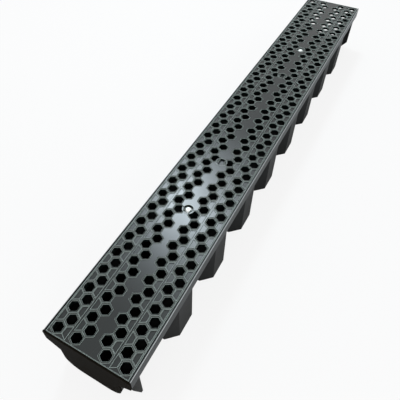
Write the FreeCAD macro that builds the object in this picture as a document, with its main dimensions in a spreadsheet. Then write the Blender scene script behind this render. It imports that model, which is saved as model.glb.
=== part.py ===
# Channel drain: a one-metre plastic drainage channel with a screwed-down honeycomb grating.
# Frame: origin under the middle of the channel at the level of its feet, X along the
# channel, Y across it, Z up. Millimetres.
import FreeCAD, Part
import os
import Sketcher

Vector = FreeCAD.Vector

# name, value, meaning
SIZES = [
    ("length", 1000, "overall length, end cap included"),
    ("width", 125, "overall width over the rims"),
    ("height", 100, "feet to rim"),
    ("wall", 2.2, "wall of the channel moulding"),
    ("joint_gap", 0.3, "clearance between pieces that slide or drop together"),
    ("trough_width", 87, "outside width of the trough"),
    ("trough_floor", 20, "underside of the trough above the feet"),
    ("trough_bend", 24, "outside radius of the trough's lower corners"),
    ("skirt_depth", 20, "depth of the outer skirt below the rim"),
    ("seat_depth", 13.5, "grating seat below the rim"),
    ("ledge", 2.5, "thickness of the ledge that carries the grating"),
    ("pod_count", 8, "anchor pods on each side"),
    ("pod_pitch", 106, "spacing of the anchor pods"),
    ("pod_face", 36, "length of a pod's outer face"),
    ("pod_flank", 16, "run of a pod's slanting flanks, along and across"),
    ("pod_inset", 0.8, "pod face behind the skirt face"),
    ("leg_inner", 36, "inner edge of the pod legs from the middle"),
    ("gusset_count", 9, "gussets under the ledge on each side"),
    ("gusset_depth", 14, "depth of a gusset at the trough"),
    ("gusset_wall", 2, "thickness of a gusset"),
    ("end_rib", 3, "thickness of the stop rib near each end"),
    ("end_rib_inset", 14.5, "outer face of a stop rib from the channel's end"),
    ("end_rib_reach", 60, "outer edge of a stop rib from the middle"),
    ("end_rib_toe", 18, "height at which a stop rib starts to narrow"),
    ("socket_depth", 12, "depth of the push-fit socket at the far end"),
    ("cap_plate", 2.5, "thickness of the end cap's plate"),
    ("cap_lip", 10, "length of the end cap's lip inside the trough"),
    ("cap_lip_wall", 2, "thickness of the end cap's lip"),
    ("cap_shoulder", 14, "rise of the cap's sloping shoulder"),
    ("bridge_width", 9, "width of a cross bridge along the channel"),
    ("bridge_height", 12, "height of a cross bridge"),
    ("boss_diameter", 14, "screw boss on a cross bridge"),
    ("boss_height", 18, "height of the screw boss"),
    ("screw_place", 252, "screws from the middle"),
    ("blank_place", 140, "blank wells from the middle"),
    ("plate", 5, "thickness of the grating's plate"),
    ("flange", 2.6, "thickness of the grating's side flanges"),
    ("grate_gap", 0.8, "gap between grating and rim on each side"),
    ("rib", 3, "thickness of the ribs under the grating"),
    ("rib_drop", 7, "depth of those ribs below the plate"),
    ("hole_count", 33, "holes in a full row of the grating"),
    ("hole_pitch", 30.4, "spacing of the holes along a row"),
    ("hole_flats", 13.4, "hexagonal hole across its flats"),
    ("outer_row", 49.4, "outermost row of holes from the middle"),
    ("inner_row", 21.3, "full inner row of holes from the middle"),
    ("field_rim", 1.1, "rim left between a cell's edge and a sunken field"),
    ("field_depth", 1.2, "depth of the sunken fields between the cells"),
    ("collar_diameter", 19, "boss round a screw hole of the grating"),
    ("recess_diameter", 15, "recess for a screw head"),
    ("recess_depth", 4, "depth of that recess"),
    ("screw_hole", 5.6, "screw hole in the grating"),
    ("head_diameter", 10.8, "screw head"),
    ("head_edge", 1.3, "straight edge of the screw head"),
    ("head_rise", 1.7, "rise of the rounded head above its edge"),
    ("head_top", 6, "flat top of the screw head"),
    ("shank_diameter", 4.8, "screw shank"),
    ("shank_length", 24, "screw shank under the head"),
    ("shank_point", 3, "length of the screw's point"),
    ("thread_gap", 0.1, "gap between shank and boss on each side"),
]

doc = FreeCAD.newDocument("channel_drain")
sheet = doc.addObject("Spreadsheet::Sheet", "Sizes")
for row, (alias, size, meaning) in enumerate(SIZES, start=1):
    sheet.set("A%d" % row, meaning)
    sheet.set("B%d" % row, str(size))
    sheet.setAlias("B%d" % row, alias)
doc.recompute()

NAMES = sorted((alias for alias, size, meaning in SIZES), key=len, reverse=True)


def bind(text):
    """Turn a formula written with the sheet's names into a FreeCAD expression."""
    words = []
    word = ""
    for letter in text + " ":
        if letter.isalnum() or letter in "_.":
            word += letter
            continue
        words.append("Sizes." + word if word in NAMES else word)
        words.append(letter)
        word = ""
    return "".join(words).strip()


def number(text):
    """The value of such a formula."""
    found = sheet.evalExpression(bind(text))
    return float(getattr(found, "Value", found))


# Levels and places that more than one piece shares.
SEAT = "height - seat_depth"
LEDGE_LOW = "height - seat_depth - ledge"
SKIRT_LOW = "height - skirt_depth"
RIM_INNER = "width / 2 - wall"
CHANNEL_START = "cap_plate - length / 2"
GRATE_HALF = "width / 2 - wall - grate_gap"
PLATE_LOW = "height - plate"
SCREW_PLACES = ["-screw_place", "screw_place"]
BLANK_PLACES = ["-blank_place", "blank_place"]
HALF_CELL = "hole_pitch / sqrt(3) / 4"


def new_body(name):
    body = doc.addObject("PartDesign::Body", name)
    body.Label = name
    return body


def new_sketch(body, name, plane, level="0"):
    """A sketch on one of the body's own origin planes, moved along the plane's normal."""
    sketch = body.newObject("Sketcher::SketchObject", name)
    support = [item for item in body.Origin.OriginFeatures if item.Role == plane][0]
    sketch.AttachmentSupport = (support, "")
    sketch.MapMode = "FlatFace"
    sketch.setExpression(".AttachmentOffset.Base.z", bind(level))
    return sketch


def hold(sketch, item, point, across, up):
    """Tie one point of a sketch to the sheet by its two coordinates."""
    for kind, formula, axis in (("DistanceX", across, -2), ("DistanceY", up, -1)):
        if formula == "0":
            sketch.addConstraint(Sketcher.Constraint("PointOnObject", item, point, axis))
            continue
        rule = Sketcher.Constraint(kind, -1, 1, item, point, number(formula))
        sketch.setExpression("Constraints[%d]" % sketch.addConstraint(rule), bind(formula))


def outline(sketch, corners, bends=None):
    """A closed outline. bends gives, for the run that leaves a corner, an arc's radius and centre."""
    bends = bends or {}
    places = [Vector(number(across), number(up), 0) for across, up in corners]
    first = sketch.GeometryCount
    for index, place in enumerate(places):
        after = places[(index + 1) % len(places)]
        if index in bends:
            radius, centre_across, centre_up = [number(part) for part in bends[index]]
            centre = Vector(centre_across, centre_up, 0)
            middle = (place + after) * 0.5 - centre
            middle = centre + middle.normalize() * radius
            sketch.addGeometry(Part.Arc(place, middle, after))
        else:
            sketch.addGeometry(Part.LineSegment(place, after))
    ends = []
    for index, place in enumerate(places):
        item = first + index
        starts_here = (sketch.getPoint(item, 1) - place).Length < 1e-6
        ends.append((1, 2) if starts_here else (2, 1))
    for index, (across, up) in enumerate(corners):
        item = first + index
        before = (index - 1) % len(corners)
        joined = (item, ends[index][0], first + before, ends[before][1])
        sketch.addConstraint(Sketcher.Constraint("Coincident", *joined))
        hold(sketch, item, ends[index][0], across, up)
    for index, (radius, centre_across, centre_up) in bends.items():
        rule = Sketcher.Constraint("Radius", first + index, number(radius))
        sketch.setExpression("Constraints[%d]" % sketch.addConstraint(rule), bind(radius))


def ring(sketch, across, up, diameter):
    """A circle tied to the sheet."""
    centre = Vector(number(across), number(up), 0)
    item = sketch.addGeometry(Part.Circle(centre, Vector(0, 0, 1), number(diameter) / 2))
    hold(sketch, item, 3, across, up)
    rule = Sketcher.Constraint("Diameter", item, number(diameter))
    sketch.setExpression("Constraints[%d]" % sketch.addConstraint(rule), bind(diameter))


def hexagon(sketch, across, up, flats):
    """A hexagon with two corners along the first axis."""
    flat = "(%s) / 2" % flats
    tip = "(%s) / sqrt(3)" % flats
    corners = [(tip, "0"), (tip + " / 2", flat), ("-" + tip + " / 2", flat),
               ("-" + tip, "0"), ("-" + tip + " / 2", "-" + flat), (tip + " / 2", "-" + flat)]
    outline(sketch, [(shift(across, x), shift(up, y)) for x, y in corners])


def shift(base, step):
    """Add two formulas, leaving out those that are nothing."""
    if step == "0":
        return base
    if base == "0":
        return step
    return "%s %s" % (base, step) if step.startswith("-") else "%s + %s" % (base, step)


def finish(body, feature, refine=False):
    """Make a feature the body's tip and make sure that it was built."""
    feature.Refine = refine
    body.Tip = feature
    doc.recompute()
    if "Invalid" in feature.State or "Error" in feature.State or feature.Shape.isNull():
        raise RuntimeError("%s was not built" % feature.Name)
    return feature


def pad(body, name, sketch, depth, down=False):
    feature = body.newObject("PartDesign::Pad", name)
    feature.Profile = sketch
    feature.Reversed = down
    feature.setExpression("Length", bind(depth))
    return finish(body, feature)


def pocket(body, name, sketch, depth, up=False):
    """Cut against the sketch's normal, or along it with up, and make sure that it cuts."""
    before = body.Shape.Volume
    feature = body.newObject("PartDesign::Pocket", name)
    feature.Profile = sketch
    feature.Reversed = up
    feature.setExpression("Length", bind(depth))
    finish(body, feature)
    if feature.Shape.Volume > before - 1e-3:
        raise RuntimeError("%s cuts nothing" % name)
    return feature


def row_of(body, name, feature, span, count):
    """Repeat a feature along X."""
    pattern = body.newObject("PartDesign::LinearPattern", name)
    pattern.Originals = [feature]
    pattern.Direction = ([item for item in body.Origin.OriginFeatures if item.Role == "X_Axis"][0], [""])
    pattern.setExpression("Length", bind(span))
    pattern.setExpression("Occurrences", bind(count))
    return finish(body, pattern)


def both_sides(body, name, refine=True):
    """Mirror the half made so far across the middle of the channel."""
    mirror = body.newObject("PartDesign::Mirrored", name)
    mirror.MirrorPlane = ([item for item in body.Origin.OriginFeatures if item.Role == "XZ_Plane"][0], [""])
    mirror.TransformMode = "Whole shape"
    return finish(body, mirror, refine)


def trough_half(sketch, grow, top):
    """Half the trough's outline, grown from its outside by a formula, up to a level."""
    side = "trough_width / 2 + " + grow
    low = "trough_floor - (%s)" % grow
    bend = "trough_bend + " + grow
    centre = ("trough_width / 2 - trough_bend", "trough_floor + trough_bend")
    corners = [("0", low), (centre[0], low), (side, centre[1]), (side, top), ("0", top)]
    outline(sketch, corners, {1: (bend,) + centre})


def make_channel():
    """The channel: a round-cornered trough under two rims, with anchor pods along both sides."""
    body = new_body("channel")
    half = "width / 2"
    side = "trough_width / 2"
    section = new_sketch(body, "section", "YZ_Plane", CHANNEL_START)
    corners = [("0", "trough_floor"), (side + " - trough_bend", "trough_floor"),
               (side, "trough_floor + trough_bend"), (side, LEDGE_LOW), (RIM_INNER, LEDGE_LOW),
               (RIM_INNER, SKIRT_LOW), (half, SKIRT_LOW), (half, "height"), (RIM_INNER, "height"),
               (RIM_INNER, SEAT), ("0", SEAT)]
    bend = ("trough_bend", side + " - trough_bend", "trough_floor + trough_bend")
    outline(section, corners, {1: bend})
    pad(body, "trough_and_rim", section, "length - cap_plate")

    # One pod: an outer face, two slanting flanks and two legs, open below.
    face = "pod_face / 2"
    foot = "pod_face / 2 + pod_flank"
    outer = "width / 2 - pod_inset"
    mitre = "wall * tan(22.5)"
    run = [(foot, "leg_inner"), (foot, outer + " - pod_flank"), (face, outer)]
    inside = [(face + " - " + mitre, outer + " - wall"),
              (foot + " - wall", outer + " - pod_flank - " + mitre), (foot + " - wall", "leg_inner")]
    left = [("-(%s)" % x, y) for x, y in reversed(run)]
    left_inside = [("-(%s)" % x, y) for x, y in reversed(inside)]
    first = "-(pod_count - 1) * pod_pitch / 2"
    pod = new_sketch(body, "pod", "XY_Plane")
    around = run + left + left_inside + inside
    outline(pod, [("%s + %s" % (first, x), y) for x, y in around])
    pods = pad(body, "pod_walls", pod, LEDGE_LOW)
    row_of(body, "pod_row", pods, "(pod_count - 1) * pod_pitch", "pod_count")

    # Gussets under the ledge, midway between the pods.
    gusset = new_sketch(body, "gusset", "YZ_Plane",
                        "-(gusset_count - 1) * pod_pitch / 2 - gusset_wall / 2")
    outline(gusset, [(side, LEDGE_LOW), (side, LEDGE_LOW + " - gusset_depth"),
                     (RIM_INNER, SKIRT_LOW), (RIM_INNER, LEDGE_LOW)])
    gussets = pad(body, "gusset_wall", gusset, "gusset_wall")
    row_of(body, "gusset_row", gussets, "(gusset_count - 1) * pod_pitch", "gusset_count")

    # A stop rib near each end, which the neighbouring channel's socket meets.
    rib = new_sketch(body, "stop_rib", "YZ_Plane", CHANNEL_START + " + end_rib_inset")
    outline(rib, [("leg_inner", "0"), ("end_rib_reach - end_rib_toe * 0.8", "0"),
                  ("end_rib_reach", "end_rib_toe"), ("end_rib_reach", LEDGE_LOW), ("leg_inner", LEDGE_LOW)])
    ribs = pad(body, "stop_rib_wall", rib, "end_rib")
    row_of(body, "stop_ribs", ribs, "length - cap_plate - 2 * end_rib_inset - end_rib", "2")

    # The far end's socket takes the next channel's trough from outside.
    collar = new_sketch(body, "collar", "YZ_Plane", "length / 2 - end_rib_inset")
    trough_half(collar, "joint_gap + wall", LEDGE_LOW)
    pad(body, "collar_wall", collar, "end_rib_inset")
    bore = new_sketch(body, "bore", "YZ_Plane", CHANNEL_START)
    trough_half(bore, "-wall", SEAT)
    pocket(body, "trough_bore", bore, "length", up=True)
    socket = new_sketch(body, "socket", "YZ_Plane", "length / 2 - socket_depth")
    trough_half(socket, "joint_gap", LEDGE_LOW)
    pocket(body, "socket_bore", socket, "socket_depth", up=True)
    both_sides(body, "whole_channel")

    # Cross bridges with bosses for the grating's screws.
    bridge = new_sketch(body, "bridge", "XY_Plane", SEAT)
    reach = "trough_width / 2 - wall / 2"
    for place in SCREW_PLACES:
        low = "%s - bridge_width / 2" % place
        high = "%s + bridge_width / 2" % place
        outline(bridge, [(low, "-(%s)" % reach), (high, "-(%s)" % reach), (high, reach), (low, reach)])
    pad(body, "bridges", bridge, "bridge_height", down=True)
    boss = new_sketch(body, "boss", "XY_Plane", SEAT)
    for place in SCREW_PLACES:
        ring(boss, place, "0", "boss_diameter")
    pad(body, "bosses", boss, "boss_height", down=True)
    pilot = new_sketch(body, "pilot", "XY_Plane", SEAT)
    for place in SCREW_PLACES:
        ring(pilot, place, "0", "shank_diameter + 2 * thread_gap")
    pocket(body, "pilots", pilot, "boss_height")
    return body


def half_rings(sketch, places, outer, inner):
    """Half rings on the axis, each tied to the sheet by its place and two diameters."""
    for place in places:
        far = "(%s) / 2" % outer
        near = "(%s) / 2" % inner
        corners = [(place + " + " + far, "0"), (place, far), (place + " - " + far, "0"),
                   (place + " - " + near, "0"), (place, near), (place + " + " + near, "0")]
        outline(sketch, corners, {0: (far, place, "0"), 1: (far, place, "0"),
                                  3: (near, place, "0"), 4: (near, place, "0")})


def make_grating():
    """The grating: four zigzag rows of hexagonal cells, sunken fields between them and ribs below."""
    body = new_body("grating")
    half = GRATE_HALF
    section = new_sketch(body, "grate_section", "YZ_Plane", CHANNEL_START + " + joint_gap")
    web = "(outer_row + inner_row) / 2 - " + HALF_CELL
    low = PLATE_LOW + " - rib_drop"
    outline(section, [("0", "height"), (half, "height"), (half, SEAT), (half + " - flange", SEAT),
                      (half + " - flange", PLATE_LOW), (web + " + rib / 2", PLATE_LOW), (web + " + rib / 2", low),
                      (web + " - rib / 2", low), (web + " - rib / 2", PLATE_LOW), ("rib / 2", PLATE_LOW),
                      ("rib / 2", low), ("0", low)])
    pad(body, "plate_and_ribs", section, "length - cap_plate - 2 * joint_gap")
    wells = new_sketch(body, "screw_wells", "XY_Plane", "height")
    for place in SCREW_PLACES:
        ring(wells, place, "0", "recess_diameter")
    pocket(body, "well_cut", wells, "seat_depth")
    blanks = new_sketch(body, "blank_wells", "XY_Plane", "height")
    for place in BLANK_PLACES:
        ring(blanks, place, "0", "recess_diameter")
    pocket(body, "blank_cut", blanks, "recess_depth")

    # Full rows start half a pattern from the middle; the rows between them sit half a pitch on.
    rows = {"full": ("-(hole_count - 1) * hole_pitch / 2", "hole_count", ["outer_row", "inner_row"]),
            "between": ("-(hole_count - 2) * hole_pitch / 2", "hole_count - 1",
                        ["outer_row - hole_pitch / sqrt(3) / 2", "inner_row - hole_pitch / sqrt(3) / 2"])}
    for name, (first, count, offsets) in rows.items():
        holes = new_sketch(body, name + "_holes", "XY_Plane", "height")
        for offset in offsets:
            hexagon(holes, first, offset, "hole_flats")
        cut = pocket(body, name + "_hole_cut", holes, "plate + rib_drop")
        row_of(body, name + "_hole_row", cut, "(%s - 1) * hole_pitch" % count, count)

    # Bosses that stand on the channel's bridges: a hole for the screw, and above it a well for its head.
    foot = new_sketch(body, "boss_feet", "XY_Plane", SEAT)
    half_rings(foot, SCREW_PLACES, "collar_diameter", "screw_hole")
    pad(body, "boss_foot", foot, "seat_depth - recess_depth")
    collar = new_sketch(body, "boss_collars", "XY_Plane", "height - recess_depth")
    half_rings(collar, SCREW_PLACES, "collar_diameter", "recess_diameter")
    pad(body, "boss_collar", collar, "recess_depth")

    # Sunken fields: between the two pairs of rows, and along the long edges.
    narrow = "hole_pitch / 6 - field_rim"
    wide = "hole_pitch / 3 - 2 * field_rim"
    outer_tip = "outer_row - 2 * %s - field_rim" % HALF_CELL
    inner_tip = "inner_row + field_rim * 2"
    middle = "(%s + %s) / 2" % (outer_tip, inner_tip)
    edge_tip = "outer_row + field_rim * 1.5"
    fields = {"full": [(outer_tip, middle + " + field_rim")],
              "between": [("inner_row + field_rim", middle + " - field_rim"),
                          (edge_tip, half + " - field_rim")]}
    for name, bands in fields.items():
        first, count, offsets = rows[name]
        sunk = new_sketch(body, name + "_fields", "XY_Plane", "height")
        for tip, base in bands:
            outline(sunk, [("%s - (%s)" % (first, narrow), tip), ("%s + %s" % (first, narrow), tip),
                           ("%s + %s" % (first, wide), base), ("%s - (%s)" % (first, wide), base)])
        cut = pocket(body, name + "_field_cut", sunk, "field_depth")
        row_of(body, name + "_field_row", cut, "(%s - 1) * hole_pitch" % count, count)
    both_sides(body, "whole_grating", refine=False)
    return body


def make_end_cap():
    """The end cap: a plate with the channel's outline and a lip that pushes into the trough."""
    body = new_body("end_cap")
    side = "trough_width / 2"
    plate = new_sketch(body, "cap_outline", "YZ_Plane", "-length / 2")
    bend = ("trough_bend", side + " - trough_bend", "trough_floor + trough_bend")
    outline(plate, [("0", "trough_floor"), (side + " - trough_bend", "trough_floor"),
                    (side, "trough_floor + trough_bend"), (side, SKIRT_LOW + " - cap_shoulder"),
                    ("width / 2", SKIRT_LOW), ("width / 2", "height"), ("0", "height")], {1: bend})
    pad(body, "cap_face", plate, "cap_plate")
    lip = new_sketch(body, "lip", "YZ_Plane", CHANNEL_START)
    top = SKIRT_LOW + " - cap_shoulder"
    trough_half(lip, "-wall - joint_gap", top)
    pad(body, "lip_block", lip, "cap_lip")
    hollow = new_sketch(body, "lip_hollow", "YZ_Plane", CHANNEL_START)
    trough_half(hollow, "-wall - joint_gap - cap_lip_wall", top)
    pocket(body, "lip_bore", hollow, "cap_lip", up=True)
    both_sides(body, "whole_cap")
    return body


def make_screws():
    """The two round-headed screws that hold the grating down, as separate solids in one node."""
    body = new_body("screws")
    body.AllowCompound = True
    sketch = new_sketch(body, "screw_half", "XZ_Plane")
    under = "height - recess_depth"
    point = under + " - shank_length"
    axis = "-screw_place"
    shank = axis + " + shank_diameter / 2"
    head = axis + " + head_diameter / 2"
    edge = under + " + head_edge"
    outline(sketch, [(axis, point), (shank, point + " + shank_point"), (shank, under), (head, under),
                     (head, edge), (axis + " + head_top / 2", edge + " + head_rise"), (axis, edge + " + head_rise")])
    line = sketch.addGeometry(Part.LineSegment(Vector(number(axis), 0, 0), Vector(number(axis), 1, 0)), True)
    hold(sketch, line, 1, axis, "0")
    hold(sketch, line, 2, axis, "height")
    turned = body.newObject("PartDesign::Revolution", "screw_turned")
    turned.Profile = sketch
    turned.ReferenceAxis = (sketch, ["Axis0"])
    turned.Angle = 360
    finish(body, turned)
    row_of(body, "screw_pair", turned, "2 * screw_place", "2")
    return body


parts = [(make_channel(), 1), (make_grating(), 1), (make_end_cap(), 1), (make_screws(), 2)]
doc.recompute()
for item in doc.Objects:
    if "Invalid" in item.State or "Error" in item.State:
        raise RuntimeError("%s did not recompute: %s" % (item.Name, item.State))
os.makedirs("parts", exist_ok=True)
for part, solids in parts:
    if part.Shape.isNull() or not part.Shape.isValid() or len(part.Shape.Solids) != solids:
        raise RuntimeError("%s is not %d valid solids" % (part.Label, solids))
    part.Shape.exportStep("parts/%s.step" % part.Label)
    box = part.Shape.BoundBox
    print("%-12s %8.0f mm3  X %.1f..%.1f  Y %.1f..%.1f  Z %.1f..%.1f" % (
        part.Label, part.Shape.Volume, box.XMin, box.XMax, box.YMin, box.YMax, box.ZMin, box.ZMax))
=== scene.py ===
import math
import bmesh
import bpy
from mathutils import Matrix, Vector


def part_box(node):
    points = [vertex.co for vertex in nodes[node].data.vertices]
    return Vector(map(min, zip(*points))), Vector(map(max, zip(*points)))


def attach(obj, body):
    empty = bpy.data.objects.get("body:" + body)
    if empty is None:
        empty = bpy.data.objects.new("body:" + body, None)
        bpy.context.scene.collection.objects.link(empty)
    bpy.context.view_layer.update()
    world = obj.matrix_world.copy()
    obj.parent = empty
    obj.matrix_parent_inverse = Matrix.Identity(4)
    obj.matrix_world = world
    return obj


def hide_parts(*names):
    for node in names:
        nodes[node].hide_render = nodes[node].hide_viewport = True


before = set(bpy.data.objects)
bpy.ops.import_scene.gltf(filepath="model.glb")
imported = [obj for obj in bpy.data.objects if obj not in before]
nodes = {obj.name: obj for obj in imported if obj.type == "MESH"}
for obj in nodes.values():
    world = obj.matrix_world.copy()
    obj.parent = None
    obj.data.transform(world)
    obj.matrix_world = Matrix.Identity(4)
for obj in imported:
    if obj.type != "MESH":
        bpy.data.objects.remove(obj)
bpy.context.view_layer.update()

MM = 0.001
channel_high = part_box("channel")[1]
grating_low, grating_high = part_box("grating")
screws_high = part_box("screws")[1]

# The grating's honeycomb: full rows and, half a pitch on, the rows between them.
PITCH = 30.4 * MM
ROW_COUNT = 33
CELL = PITCH / math.sqrt(3)
OUTER_ROW = 49.4 * MM
INNER_ROW = 21.3 * MM
HOLE = 13.4 * MM
TOP = grating_high.z

# The round wells along the middle: two hold a screw and two are blank.
WELL = 15 * MM
WELL_RING = 19 * MM
WELL_RING_CORNERS = 40
BLANK_PLACE = 140 * MM
SCREW_HEAD = 10.8 * MM
SCREW_PLACE = screws_high.x - SCREW_HEAD / 2

# The collars reach the top of the grating, and the plate lies a little below them.
SINK = 0.7 * MM
RIDGE_FOOT = TOP - 1.5 * MM
RIDGE = 0.55 * MM
GROOVE = 0.5 * MM
FIELD_INSET = 0.8 * GROOVE
EDGE_BAND = 0.9 * MM
EASE = 0.24 * MM
WALL_GAP = 0.1 * MM

# How far the other bands stay below the collars.
EDGE_DROP = 0.05 * MM
FIELD_DROP = 0.1 * MM
WELL_DROP = 0.2 * MM

# Where the channel changes its finish.
RIM_INSIDE = grating_high.y + 1.6 * MM
RIM_ZONE = 0.7 * MM
SEAT_ZONE = 0.1 * MM
SKIRT_DEPTH = 20.5 * MM
TROUGH_INSIDE = 41.5 * MM
TROUGH_BED = 21 * MM

# Which edges of the channel are eased, and how far. Flatter joins than FLAT are dissolved first.
RIM_EASE = 0.6 * MM
LONG_EDGE = 20 * MM
SHARP = math.radians(60)
FLAT = math.radians(0.2)

# How a face lies, by the height of its normal: 0 is upright and 1 is level.
UPRIGHT = 0.3
STEEP = 0.5
LEVEL = 0.95
FACING_UP = 0.1

# Points this close count as the same height, or as the same point.
TOUCH = 0.01 * MM
SAME_POINT = 0.001 * MM


# ---------------------------------------------------------------- materials

def new_group(name, inputs, outputs):
    """An empty shader node group with named sockets."""
    group = bpy.data.node_groups.new(name, "ShaderNodeTree")
    for socket, kind, default in inputs:
        made = group.interface.new_socket(name=socket, in_out="INPUT", socket_type=kind)
        made.default_value = default
    for socket, kind in outputs:
        group.interface.new_socket(name=socket, in_out="OUTPUT", socket_type=kind)
    return group, group.nodes.new("NodeGroupInput"), group.nodes.new("NodeGroupOutput")


def noise(tree, scale, detail, place, stretch=None):
    """Noise on the given coordinates, stretched along the axes if asked."""
    node = tree.nodes.new("ShaderNodeTexNoise")
    node.inputs["Scale"].default_value = scale
    node.inputs["Detail"].default_value = detail
    if stretch:
        mapping = tree.nodes.new("ShaderNodeMapping")
        mapping.inputs["Scale"].default_value = stretch
        tree.links.new(place, mapping.inputs["Vector"])
        place = mapping.outputs["Vector"]
    tree.links.new(place, node.inputs["Vector"])
    return node


def build_moulded_skin():
    """Moulded polypropylene: flow marks, a fine grain, dust and rubbed edges."""
    group, inside, outside = new_group(
        "moulded_skin",
        [("Colour", "NodeSocketColor", (0.05, 0.055, 0.055, 1)),
         ("Dust Colour", "NodeSocketColor", (0.3, 0.3, 0.29, 1)),
         ("Dust", "NodeSocketFloat", 0.2),
         ("Roughness", "NodeSocketFloat", 0.4),
         ("Edge Wear", "NodeSocketFloat", 0.5)],
        [("Colour", "NodeSocketColor"), ("Roughness", "NodeSocketFloat"), ("Height", "NodeSocketFloat")])
    new = group.nodes.new
    link = group.links.new
    place = new("ShaderNodeTexCoord").outputs["Object"]

    flow = noise(group, 14, 3, place, (0.35, 1, 1))
    patches = new("ShaderNodeMapRange")
    patches.inputs["From Min"].default_value = 0.38
    patches.inputs["From Max"].default_value = 0.68
    link(flow.outputs["Fac"], patches.inputs["Value"])
    dusty = new("ShaderNodeMath")
    dusty.operation = "MULTIPLY"
    link(patches.outputs["Result"], dusty.inputs[0])
    link(inside.outputs["Dust"], dusty.inputs[1])

    worn = new("ShaderNodeNewGeometry")
    edge = new("ShaderNodeMapRange")
    edge.inputs["From Min"].default_value = 0.5
    edge.inputs["From Max"].default_value = 0.62
    link(worn.outputs["Pointiness"], edge.inputs["Value"])
    rubbed = new("ShaderNodeMath")
    rubbed.operation = "MULTIPLY"
    link(edge.outputs["Result"], rubbed.inputs[0])
    link(inside.outputs["Edge Wear"], rubbed.inputs[1])

    light = new("ShaderNodeMath")
    light.operation = "MAXIMUM"
    link(dusty.outputs["Value"], light.inputs[0])
    link(rubbed.outputs["Value"], light.inputs[1])
    paint = new("ShaderNodeMix")
    paint.data_type = "RGBA"
    link(light.outputs["Value"], paint.inputs["Factor"])
    link(inside.outputs["Colour"], paint.inputs["A"])
    link(inside.outputs["Dust Colour"], paint.inputs["B"])
    link(paint.outputs["Result"], outside.inputs["Colour"])

    grain = noise(group, 900, 2, place)
    rough = new("ShaderNodeMath")
    rough.operation = "MULTIPLY_ADD"
    # The flow marks vary the gloss by this much.
    rough.inputs[1].default_value = 0.16
    link(flow.outputs["Fac"], rough.inputs[0])
    link(inside.outputs["Roughness"], rough.inputs[2])
    link(rough.outputs["Value"], outside.inputs["Roughness"])
    link(grain.outputs["Fac"], outside.inputs["Height"])
    return group


def plastic(name, colour, dust_colour, dust, roughness, wear, shine=0.5):
    """A moulded plastic with its own colour, dust and gloss."""
    material = bpy.data.materials.new(name)
    material.use_nodes = True
    tree = material.node_tree
    shader = tree.nodes["Principled BSDF"]
    skin = tree.nodes.new("ShaderNodeGroup")
    skin.node_tree = moulded_skin
    skin.inputs["Colour"].default_value = (*colour, 1)
    skin.inputs["Dust Colour"].default_value = (*dust_colour, 1)
    skin.inputs["Dust"].default_value = dust
    skin.inputs["Roughness"].default_value = roughness
    skin.inputs["Edge Wear"].default_value = wear
    relief = tree.nodes.new("ShaderNodeBump")
    relief.inputs["Strength"].default_value = 0.25
    relief.inputs["Distance"].default_value = 0.05 * MM
    tree.links.new(skin.outputs["Colour"], shader.inputs["Base Color"])
    tree.links.new(skin.outputs["Roughness"], shader.inputs["Roughness"])
    tree.links.new(skin.outputs["Height"], relief.inputs["Height"])
    tree.links.new(relief.outputs["Normal"], shader.inputs["Normal"])
    shader.inputs["Specular IOR Level"].default_value = shine
    material.diffuse_color = (*colour, 1)
    return material


def zinc_plate(name):
    """Bright zinc plating with faint blotches."""
    material = bpy.data.materials.new(name)
    material.use_nodes = True
    tree = material.node_tree
    shader = tree.nodes["Principled BSDF"]
    place = tree.nodes.new("ShaderNodeTexCoord").outputs["Object"]
    blotches = noise(tree, 420, 3, place)
    tone = tree.nodes.new("ShaderNodeMix")
    tone.data_type = "RGBA"
    tone.inputs["A"].default_value = (0.80, 0.84, 0.81, 1)
    tone.inputs["B"].default_value = (0.92, 0.95, 0.92, 1)
    gloss = tree.nodes.new("ShaderNodeMapRange")
    gloss.inputs["To Min"].default_value = 0.45
    gloss.inputs["To Max"].default_value = 0.60
    tree.links.new(blotches.outputs["Fac"], tone.inputs["Factor"])
    tree.links.new(blotches.outputs["Fac"], gloss.inputs["Value"])
    tree.links.new(tone.outputs["Result"], shader.inputs["Base Color"])
    tree.links.new(gloss.outputs["Result"], shader.inputs["Roughness"])
    shader.inputs["Metallic"].default_value = 0.6
    return material


moulded_skin = build_moulded_skin()
channel_plastic = plastic(
    "channel_plastic", colour=(0.020, 0.024, 0.026), dust_colour=(0.060, 0.068, 0.072),
    dust=0.35, roughness=0.34, wear=0.2)
# Near-black, dull faces inside the channel, under the grating: painted shade in the recess.
inside_painted_shade = plastic(
    "inside_painted_shade", colour=(0.0015, 0.0015, 0.0014), dust_colour=(0.003, 0.003, 0.0025),
    dust=0.3, roughness=0.80, wear=0.0, shine=0.06)
# Pale grey on the eased upper edges of the channel's rims: a painted highlight.
rim_highlight_paint = plastic(
    "rim_highlight_paint", colour=(0.55, 0.58, 0.58), dust_colour=(0.72, 0.75, 0.75),
    dust=0.5, roughness=0.34, wear=0.0)
# The pods below the skirt are coloured darker than the skirt of the same moulding: painted shade.
pod_painted_shade = plastic(
    "pod_painted_shade", colour=(0.005, 0.006, 0.006), dust_colour=(0.016, 0.018, 0.018),
    dust=0.3, roughness=0.42, wear=0.2, shine=0.25)
grating_plastic = plastic(
    "grating_plastic", colour=(0.004, 0.0075, 0.0072), dust_colour=(0.016, 0.025, 0.024),
    dust=0.35, roughness=0.20, wear=0.3)
collar_plastic = plastic(
    "collar_plastic", colour=(0.008, 0.008, 0.007), dust_colour=(0.017, 0.016, 0.014),
    dust=0.3, roughness=0.46, wear=0.0, shine=0.22)
# Pale green-grey on the eased edges of collars, frames, rings and the edge band: a painted highlight,
# not wear.
edge_highlight_paint = plastic(
    "edge_highlight_paint", colour=(0.56, 0.68, 0.64), dust_colour=(0.74, 0.84, 0.80),
    dust=0.6, roughness=0.32, wear=0.0)
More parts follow.
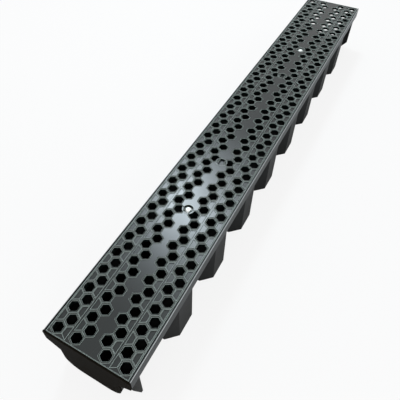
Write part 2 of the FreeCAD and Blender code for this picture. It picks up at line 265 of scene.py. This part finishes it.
# Dark plastic whose brown tint is a painted reflection on the end face.
cap_plastic = plastic(
    "cap_plastic", colour=(0.004, 0.003, 0.0016), dust_colour=(0.009, 0.007, 0.004),
    dust=0.25, roughness=0.70, wear=0.2, shine=0.05)
zinc = zinc_plate("zinc")


def dress(node, material):
    """Give a CAD node its finish."""
    mesh = nodes[node].data
    mesh.materials.clear()
    mesh.materials.append(material)


dress("channel", channel_plastic)
dress("grating", grating_plastic)
dress("end_cap", cap_plastic)
dress("screws", zinc)


# ---------------------------------------------------------------- the channel and the grating

# Places in the grating's list of finishes.
PLATE_FINISH = 0
COLLAR_FINISH = 1
# The eased edges, coloured pale as a painted highlight.
EDGE_HIGHLIGHT_FINISH = 2

# Places in the channel's list of finishes.
SKIRT_FINISH = 0
INSIDE_SHADE_FINISH = 1
RIM_HIGHLIGHT_FINISH = 2
POD_SHADE_FINISH = 3


def merged_copy(node):
    """A CAD node's mesh as one joined shell, ready to be worked on."""
    form = bmesh.new()
    form.from_mesh(nodes[node].data)
    bmesh.ops.remove_doubles(form, verts=form.verts, dist=SAME_POINT)
    return form


def keep(form, name, node, materials):
    """Store a form, with each face's finish set, as the piece that stands for a CAD node."""
    mesh = bpy.data.meshes.new(name)
    form.to_mesh(mesh)
    form.free()
    for material in materials:
        mesh.materials.append(material)
    piece = bpy.data.objects.new(name, mesh)
    bpy.context.scene.collection.objects.link(piece)
    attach(piece, "root")
    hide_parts(node)


def even_face(corners, reach):
    """A flat face with even corners round the origin, two of them on the X axis."""
    form = bmesh.new()
    bmesh.ops.create_circle(form, cap_ends=True, segments=corners, radius=reach,
                            matrix=Matrix.Rotation(math.radians(90), 4, "Z"))
    bmesh.ops.translate(form, verts=form.verts, vec=(0, 0, RIDGE_FOOT))
    return form


def cornered_face(corners):
    """A flat face with the given corners."""
    form = bmesh.new()
    form.faces.new([form.verts.new((x, y, RIDGE_FOOT)) for x, y in corners])
    return form


def sloping(face):
    """Whether a face is an eased edge, neither level nor upright."""
    return UPRIGHT < abs(face.normal.z) < LEVEL


def band(form, width, high, finish=COLLAR_FINISH):
    """A closed band inside a flat face, level below, with its upper edges eased and given a painted
    highlight.
    """
    form.faces.ensure_lookup_table()
    face = form.faces[0]
    face.normal_update()
    bmesh.ops.inset_region(form, faces=[face], thickness=width, use_boundary=True, use_even_offset=True)
    bmesh.ops.delete(form, geom=[face], context="FACES_ONLY")
    raised = bmesh.ops.extrude_face_region(form, geom=form.faces[:])["geom"]
    lifted = [part for part in raised if isinstance(part, bmesh.types.BMVert)]
    bmesh.ops.translate(form, verts=lifted, vec=(0, 0, high - RIDGE_FOOT))
    form.normal_update()
    top = [edge for edge in form.edges
           if all(vert.co.z > high - TOUCH for vert in edge.verts)
           and any(abs(side.normal.z) < STEEP for side in edge.link_faces)]
    bmesh.ops.bevel(form, geom=top, affect="EDGES", offset=min(EASE, width / 3), segments=1,
                    profile=0.5, material=-1)
    bmesh.ops.recalc_face_normals(form, faces=form.faces)
    # Eased faces get the painted highlight.
    for side in form.faces:
        side.material_index = EDGE_HIGHLIGHT_FINISH if sloping(side) else finish
    mesh = bpy.data.meshes.new("band")
    form.to_mesh(mesh)
    form.free()
    return mesh


def set_down(form, mesh, x, y, flip=1):
    """Add a band to a form of bands alone; flip turns it to face the other side."""
    start = len(form.verts)
    form.from_mesh(mesh)
    form.verts.ensure_lookup_table()
    new = form.verts[start:]
    if flip < 0:
        bmesh.ops.rotate(form, verts=new, cent=(0, 0, 0), matrix=Matrix.Rotation(math.pi, 3, "Z"))
    bmesh.ops.translate(form, verts=new, vec=(x, y, 0))


def row(count):
    """Places along the grating, a pitch apart and even about the middle."""
    return [(number - (count - 1) / 2) * PITCH for number in range(count)]


def set_collars(bands):
    """A raised collar round each hole."""
    flats = CELL - GROOVE
    collar = band(even_face(6, flats / math.sqrt(3)), (flats - HOLE) / 2 - WALL_GAP, TOP)
    rows = [(row(ROW_COUNT), (OUTER_ROW, INNER_ROW)),
            (row(ROW_COUNT - 1), (OUTER_ROW - CELL / 2, INNER_ROW - CELL / 2))]
    for places, offsets in rows:
        for x in places:
            for y in offsets:
                set_down(bands, collar, x, y)
                set_down(bands, collar, x, -y)


def set_field_frames(bands):
    """A thin ridge round each sunk field between the holes."""
    side = CELL / math.sqrt(3)
    short = side / 2 - FIELD_INSET
    long = side - 2 * FIELD_INSET
    deep = CELL / 2 - FIELD_INSET
    outward = [(-short, FIELD_INSET), (short, FIELD_INSET), (long, deep), (-long, deep)]
    inward = [(x, -y) for x, y in reversed(outward)]
    frame_out = band(cornered_face(outward), RIDGE, TOP - FIELD_DROP, PLATE_FINISH)
    frame_in = band(cornered_face(inward), RIDGE, TOP - FIELD_DROP, PLATE_FINISH)
    for x in row(ROW_COUNT - 1):
        for turn in (1, -1):
            set_down(bands, frame_out, x, turn * OUTER_ROW, turn)
            set_down(bands, frame_out, x, turn * INNER_ROW, turn)
    for x in row(ROW_COUNT):
        for turn in (1, -1):
            set_down(bands, frame_in, x, turn * (OUTER_ROW - CELL / 2), turn)


def set_well_rings(bands):
    """A raised ring round each well."""
    ring = band(even_face(WELL_RING_CORNERS, WELL_RING / 2), (WELL_RING - WELL) / 2 - WALL_GAP,
                TOP - WELL_DROP, PLATE_FINISH)
    for x in (SCREW_PLACE, BLANK_PLACE):
        set_down(bands, ring, x, 0)
        set_down(bands, ring, -x, 0)


def set_edge_band(bands):
    """A raised band along the grating's outer edge."""
    middle = (grating_low + grating_high) / 2
    reach = grating_high - middle
    outline = [(-reach.x, -reach.y), (reach.x, -reach.y), (reach.x, reach.y), (-reach.x, reach.y)]
    edge = band(cornered_face(outline), EDGE_BAND, TOP - EDGE_DROP, PLATE_FINISH)
    set_down(bands, edge, middle.x, middle.y)


def make_grating():
    """The grating with its plate sunk below raised collars, frames, rings and an edge band."""
    form = merged_copy("grating")
    for vert in form.verts:
        if vert.co.z > TOP - TOUCH:
            vert.co.z -= SINK

    bands = bmesh.new()
    set_collars(bands)
    set_field_frames(bands)
    set_well_rings(bands)
    set_edge_band(bands)
    ridges = bpy.data.meshes.new("ridges")
    bands.to_mesh(ridges)
    bands.free()
    form.from_mesh(ridges)
    keep(form, "honeycomb_grating", "grating", [grating_plastic, collar_plastic, edge_highlight_paint])


def channel_finish(face):
    """Which finish a face of the channel gets: painted shade inside, a painted highlight on the rim's
    eased edges, painted shade on the pods, or the plain skirt.
    """
    middle = face.calc_center_median()
    across = abs(middle.y)
    on_seat = across < RIM_INSIDE and middle.z < grating_low.z + SEAT_ZONE and face.normal.z > FACING_UP
    beside_grating = across < RIM_INSIDE and middle.z > grating_low.z and abs(face.normal.z) < LEVEL
    in_trough = across < TROUGH_INSIDE and middle.z > TROUGH_BED
    # The seat, the walls beside the grating and the trough get the painted shade.
    if on_seat or beside_grating or in_trough:
        return INSIDE_SHADE_FINISH
    # The rim's eased edges get the painted highlight.
    if middle.z > channel_high.z - RIM_ZONE and sloping(face):
        return RIM_HIGHLIGHT_FINISH
    # Below the skirt the pods get the painted shade.
    if middle.z < channel_high.z - SKIRT_DEPTH:
        return POD_SHADE_FINISH
    return SKIRT_FINISH


def make_channel():
    """The channel with the upper edges of its rims eased."""
    form = merged_copy("channel")
    bmesh.ops.dissolve_limit(form, angle_limit=FLAT, verts=form.verts, edges=form.edges)
    form.normal_update()
    rims = [edge for edge in form.edges
            if len(edge.link_faces) == 2 and edge.calc_face_angle() > SHARP
            and all(vert.co.z > channel_high.z - TOUCH for vert in edge.verts)
            and abs(edge.verts[0].co.x - edge.verts[1].co.x) > LONG_EDGE]
    bmesh.ops.bevel(form, geom=rims, affect="EDGES", offset=RIM_EASE, segments=2, profile=0.5,
                    material=-1, clamp_overlap=True)
    bmesh.ops.triangulate(form, faces=form.faces)
    form.normal_update()
    for face in form.faces:
        face.material_index = channel_finish(face)
    keep(form, "channel_trough", "channel", [channel_plastic, inside_painted_shade, rim_highlight_paint, pod_painted_shade])


make_grating()
make_channel()


# ---------------------------------------------------------------- floor, light and camera

FLOOR_HALF = 3.0
# The share of plain white in the floor as the camera sees it. The rest keeps the shadow.
FLOOR_PLAIN = 0.85


def make_floor():
    """A plain white floor that keeps the part's soft shadow."""
    form = bmesh.new()
    bmesh.ops.create_grid(form, x_segments=1, y_segments=1, size=FLOOR_HALF)
    mesh = bpy.data.meshes.new("floor")
    form.to_mesh(mesh)
    form.free()
    floor = bpy.data.objects.new("floor", mesh)
    bpy.context.scene.collection.objects.link(floor)
    white = bpy.data.materials.new("floor_white")
    white.use_nodes = True
    shader = white.node_tree.nodes["Principled BSDF"]
    shader.inputs["Base Color"].default_value = (0.9, 0.9, 0.9, 1)
    shader.inputs["Roughness"].default_value = 0.9
    shader.inputs["Specular IOR Level"].default_value = 0.1
    path = white.node_tree.nodes.new("ShaderNodeLightPath")
    share = white.node_tree.nodes.new("ShaderNodeMath")
    share.operation = "MULTIPLY"
    share.inputs[1].default_value = FLOOR_PLAIN
    plain = white.node_tree.nodes.new("ShaderNodeEmission")
    plain.inputs["Strength"].default_value = 1
    mix = white.node_tree.nodes.new("ShaderNodeMixShader")
    link = white.node_tree.links.new
    link(path.outputs["Is Camera Ray"], share.inputs[0])
    link(share.outputs["Value"], mix.inputs["Fac"])
    link(shader.outputs["BSDF"], mix.inputs[1])
    link(plain.outputs["Emission"], mix.inputs[2])
    link(mix.outputs["Shader"], white.node_tree.nodes["Material Output"].inputs["Surface"])
    mesh.materials.append(white)


def make_world():
    """Full white to the camera, in reflections and in transmission; a weaker white as light."""
    world = bpy.data.worlds.new("studio")
    bpy.context.scene.world = world
    world.use_nodes = True
    tree = world.node_tree
    tree.nodes.clear()
    path = tree.nodes.new("ShaderNodeLightPath")
    through = tree.nodes.new("ShaderNodeMath")
    through.operation = "MAXIMUM"
    tree.links.new(path.outputs["Is Glossy Ray"], through.inputs[0])
    tree.links.new(path.outputs["Is Transmission Ray"], through.inputs[1])
    seen = tree.nodes.new("ShaderNodeMath")
    seen.operation = "MAXIMUM"
    tree.links.new(path.outputs["Is Camera Ray"], seen.inputs[0])
    tree.links.new(through.outputs["Value"], seen.inputs[1])
    fill = tree.nodes.new("ShaderNodeBackground")
    fill.inputs["Strength"].default_value = 0.55
    back = tree.nodes.new("ShaderNodeBackground")
    back.inputs["Strength"].default_value = 1
    mix = tree.nodes.new("ShaderNodeMixShader")
    out = tree.nodes.new("ShaderNodeOutputWorld")
    for shade in (fill, back):
        shade.inputs["Color"].default_value = (1, 1, 1, 1)
    tree.links.new(seen.outputs["Value"], mix.inputs["Fac"])
    tree.links.new(fill.outputs["Background"], mix.inputs[1])
    tree.links.new(back.outputs["Background"], mix.inputs[2])
    tree.links.new(mix.outputs["Shader"], out.inputs["Surface"])


def softbox(name, place, aim, size, power, tint=(1, 1, 1)):
    """A square area lamp that faces a point."""
    lamp = bpy.data.lights.new(name, "AREA")
    lamp.shape = "SQUARE"
    lamp.size = size
    lamp.energy = power
    lamp.color = tint
    holder = bpy.data.objects.new(name, lamp)
    holder.location = place
    holder.rotation_euler = (Vector(aim) - Vector(place)).to_track_quat("-Z", "Y").to_euler()
    bpy.context.scene.collection.objects.link(holder)


def make_camera():
    """The camera stands before the near end, above and to the right, and looks down the channel."""
    place = Vector((-0.598, -0.189, 0.588))
    aim = Vector((-0.2223, 0.0307, 0.1))
    tilt = math.radians(-1.1)
    lens = bpy.data.cameras.new("camera")
    lens.lens = 38.2
    lens.sensor_width = 36
    lens.shift_x = 0.0496
    lens.shift_y = -0.030
    lens.clip_start = 0.01
    camera = bpy.data.objects.new("camera", lens)
    look = (aim - place).to_track_quat("-Z", "Y").to_matrix().to_4x4()
    camera.matrix_world = Matrix.Translation(place) @ look @ Matrix.Rotation(tilt, 4, "Z")
    bpy.context.scene.collection.objects.link(camera)
    bpy.context.scene.camera = camera


make_floor()
make_world()
softbox("key", place=(0.79, 0.57, 1.56), aim=(-0.25, 0, 0.1), size=0.30, power=13, tint=(0.80, 0.92, 1))
softbox("front", place=(-1.4, -0.9, 0.9), aim=(-0.2, 0, 0.05), size=0.8, power=4)
make_camera()
bpy.context.scene.view_settings.view_transform = "Standard"
